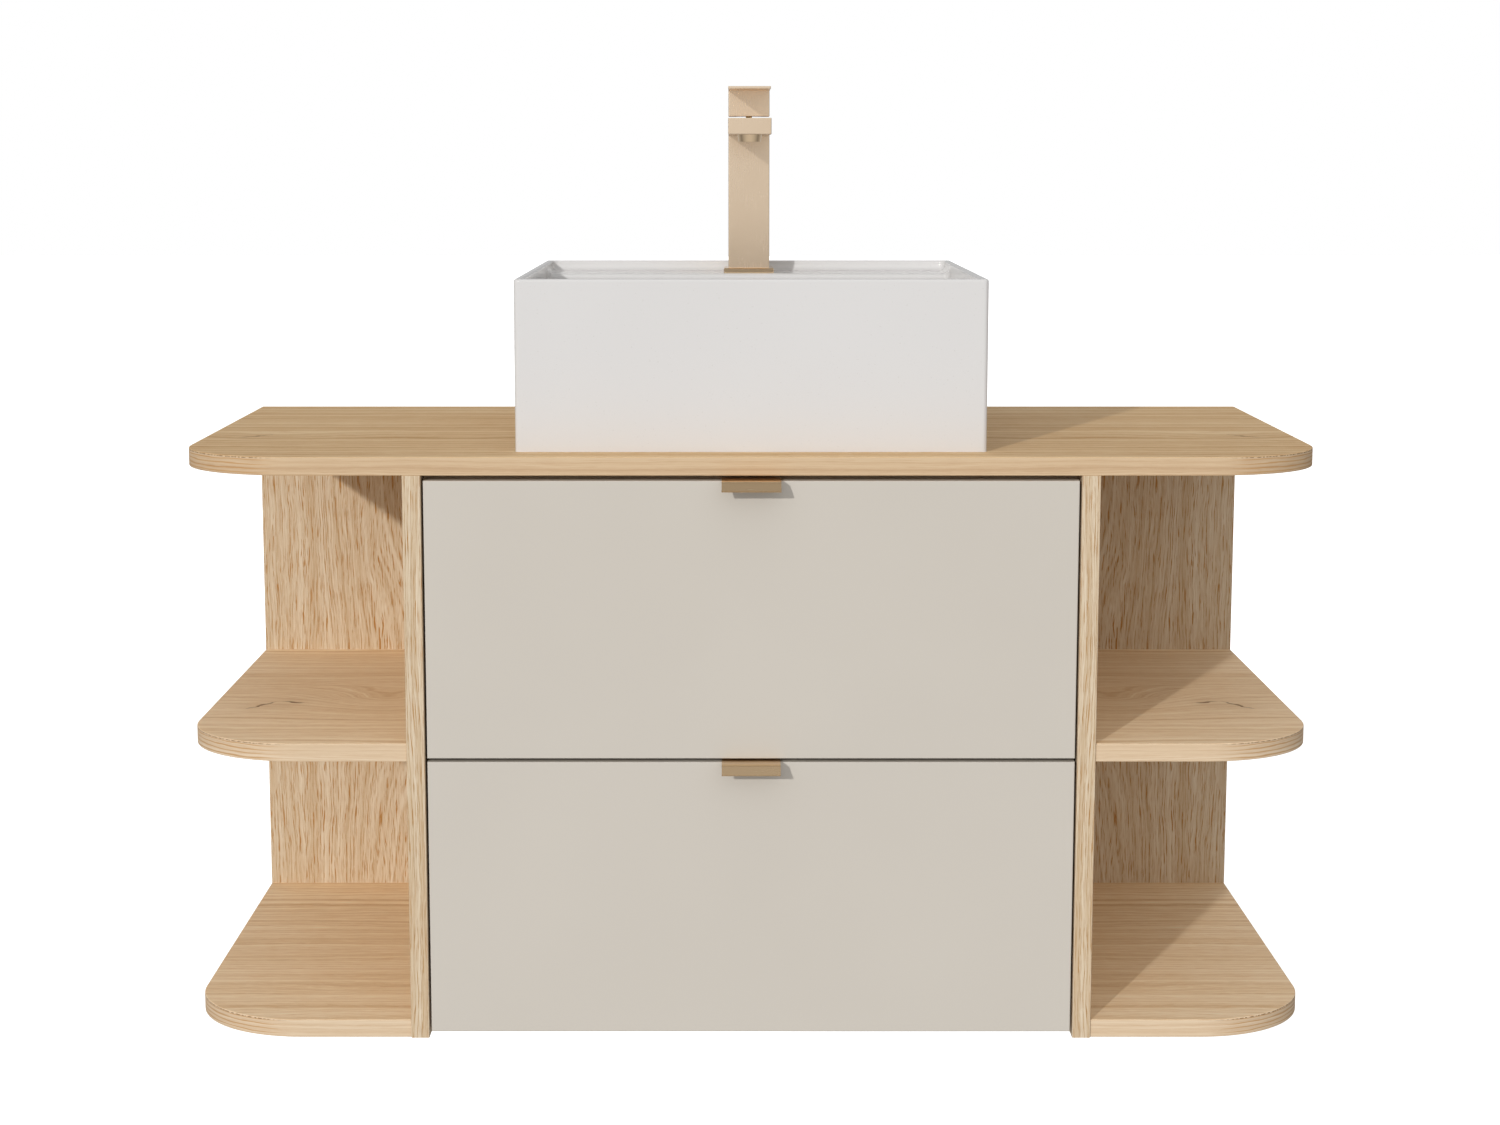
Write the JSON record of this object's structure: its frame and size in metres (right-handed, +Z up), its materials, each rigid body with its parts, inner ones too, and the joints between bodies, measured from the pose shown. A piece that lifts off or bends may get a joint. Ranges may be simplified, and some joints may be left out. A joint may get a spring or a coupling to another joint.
{
  "type": "vessel sink vanity",
  "caption": "Wall-hung oak vanity with drawers and rounded open shelves, a rectangular ceramic vessel basin and a tall square mixer tap.",
  "frame": {"origin": "on the wall plane, in the middle of the wall bolts, at mid height of the side panels", "axes": "+X to the right seen from the front, +Y towards the wall, the front faces -Y, +Z up"},
  "size_m": [1, 0.5044, 0.8367],
  "materials": {
    "oak": "matt oiled oak veneer with open grain",
    "greige_lacquer": "satin greige lacquer on fibreboard",
    "drawer_board": "pale melamine-faced board",
    "beech": "plain beech dowel",
    "brushed_gold": "brushed champagne gold plating",
    "raw_brass": "machined brass",
    "glazed_ceramic": "gloss white glaze",
    "zinc_steel": "bright zinc plating",
    "white_plastic": "moulded white polypropylene",
    "grey_plastic": "moulded grey plastic",
    "rubber": "black rubber"
  },
  "bodies": {
    "cabinet": {"worktop": "oak", "back_panel": "oak", "left_side_panel": "oak", "right_side_panel": "oak", "left_middle_shelf": "oak", "left_bottom_shelf": "oak", "right_middle_shelf": "oak", "right_bottom_shelf": "oak", "front_top_rail": "oak", "rear_top_rail": "oak", "rear_bottom_rail": "oak", "wall_brackets": "zinc_steel", "carcass_screws": "zinc_steel", "upper_cabinet_runners": "zinc_steel", "lower_cabinet_runners": "zinc_steel", "tap_clamp": "zinc_steel", "tap_stud": "zinc_steel", "tap_nut": "zinc_steel", "panel_dowels": "beech", "tap_body": "brushed_gold", "tap_base_plate": "brushed_gold", "aerator": "brushed_gold", "drain_body": "brushed_gold", "basin": "glazed_ceramic", "drain_gaskets": "rubber", "tap_gasket": "rubber", "drain_back_nut": "white_plastic", "trap_body": "white_plastic", "trap_cup": "white_plastic", "trap_nuts": "white_plastic", "waste_pipe": "white_plastic", "cartridge": "grey_plastic", "tap_inlet_block": "raw_brass", "cartridge_nut": "raw_brass"},
    "upper_drawer": {"upper_drawer_front": "greige_lacquer", "upper_drawer_left_side": "drawer_board", "upper_drawer_right_side": "drawer_board", "upper_drawer_handle": "brushed_gold", "upper_drawer_fixings": "zinc_steel", "upper_drawer_runners": "zinc_steel", "upper_drawer_bottom": "drawer_board", "upper_drawer_left_back": "drawer_board", "upper_drawer_right_back": "drawer_board", "upper_drawer_siphon_liner": "grey_plastic"},
    "upper_runner_middles": {"upper_middle_runners": "zinc_steel"},
    "lower_drawer": {"lower_drawer_front": "greige_lacquer", "lower_drawer_left_side": "drawer_board", "lower_drawer_right_side": "drawer_board", "lower_drawer_handle": "brushed_gold", "lower_drawer_fixings": "zinc_steel", "lower_drawer_runners": "zinc_steel", "lower_drawer_bottom": "drawer_board", "lower_drawer_back": "drawer_board"},
    "lower_runner_middles": {"lower_middle_runners": "zinc_steel"},
    "tap_rotor": {"cartridge_rotor": "grey_plastic", "lever_pin": "zinc_steel"},
    "tap_lever": {"lever_handle": "brushed_gold", "lever_stem": "raw_brass", "lever_grub_screw": "zinc_steel"},
    "basin_plug": {"drain_plug": "brushed_gold"}
  },
  "joints": [
    {"name": "upper_drawer_slide", "type": "slide", "parent": "cabinet", "child": "upper_drawer", "axis": [0, -1, 0], "range_m": [0, 0.36]},
    {"name": "upper_runner_slide", "type": "slide", "parent": "cabinet", "child": "upper_runner_middles", "axis": [0, -1, 0], "range_m": [0, 0.18]},
    {"name": "lower_drawer_slide", "type": "slide", "parent": "cabinet", "child": "lower_drawer", "axis": [0, -1, 0], "range_m": [0, 0.36]},
    {"name": "lower_runner_slide", "type": "slide", "parent": "cabinet", "child": "lower_runner_middles", "axis": [0, -1, 0], "range_m": [0, 0.18]},
    {"name": "water_temperature", "type": "hinge", "parent": "cabinet", "child": "tap_rotor", "pos_m": [0, -0.053, 0.545], "axis": [0, 0, 1], "range_deg": [-45, 45]},
    {"name": "water_flow", "type": "hinge", "parent": "tap_rotor", "child": "tap_lever", "pos_m": [0, -0.053, 0.545], "axis": [-1, 0, 0], "range_deg": [0, 20]},
    {"name": "plug_lift", "type": "slide", "parent": "cabinet", "child": "basin_plug", "axis": [0, 0, 1], "range_m": [0, 0.008]}
  ],
  "couplings": [
    {"joint": "upper_runner_slide", "follows": "upper_drawer_slide", "ratio": 0.5},
    {"joint": "lower_runner_slide", "follows": "lower_drawer_slide", "ratio": 0.5}
  ]
}
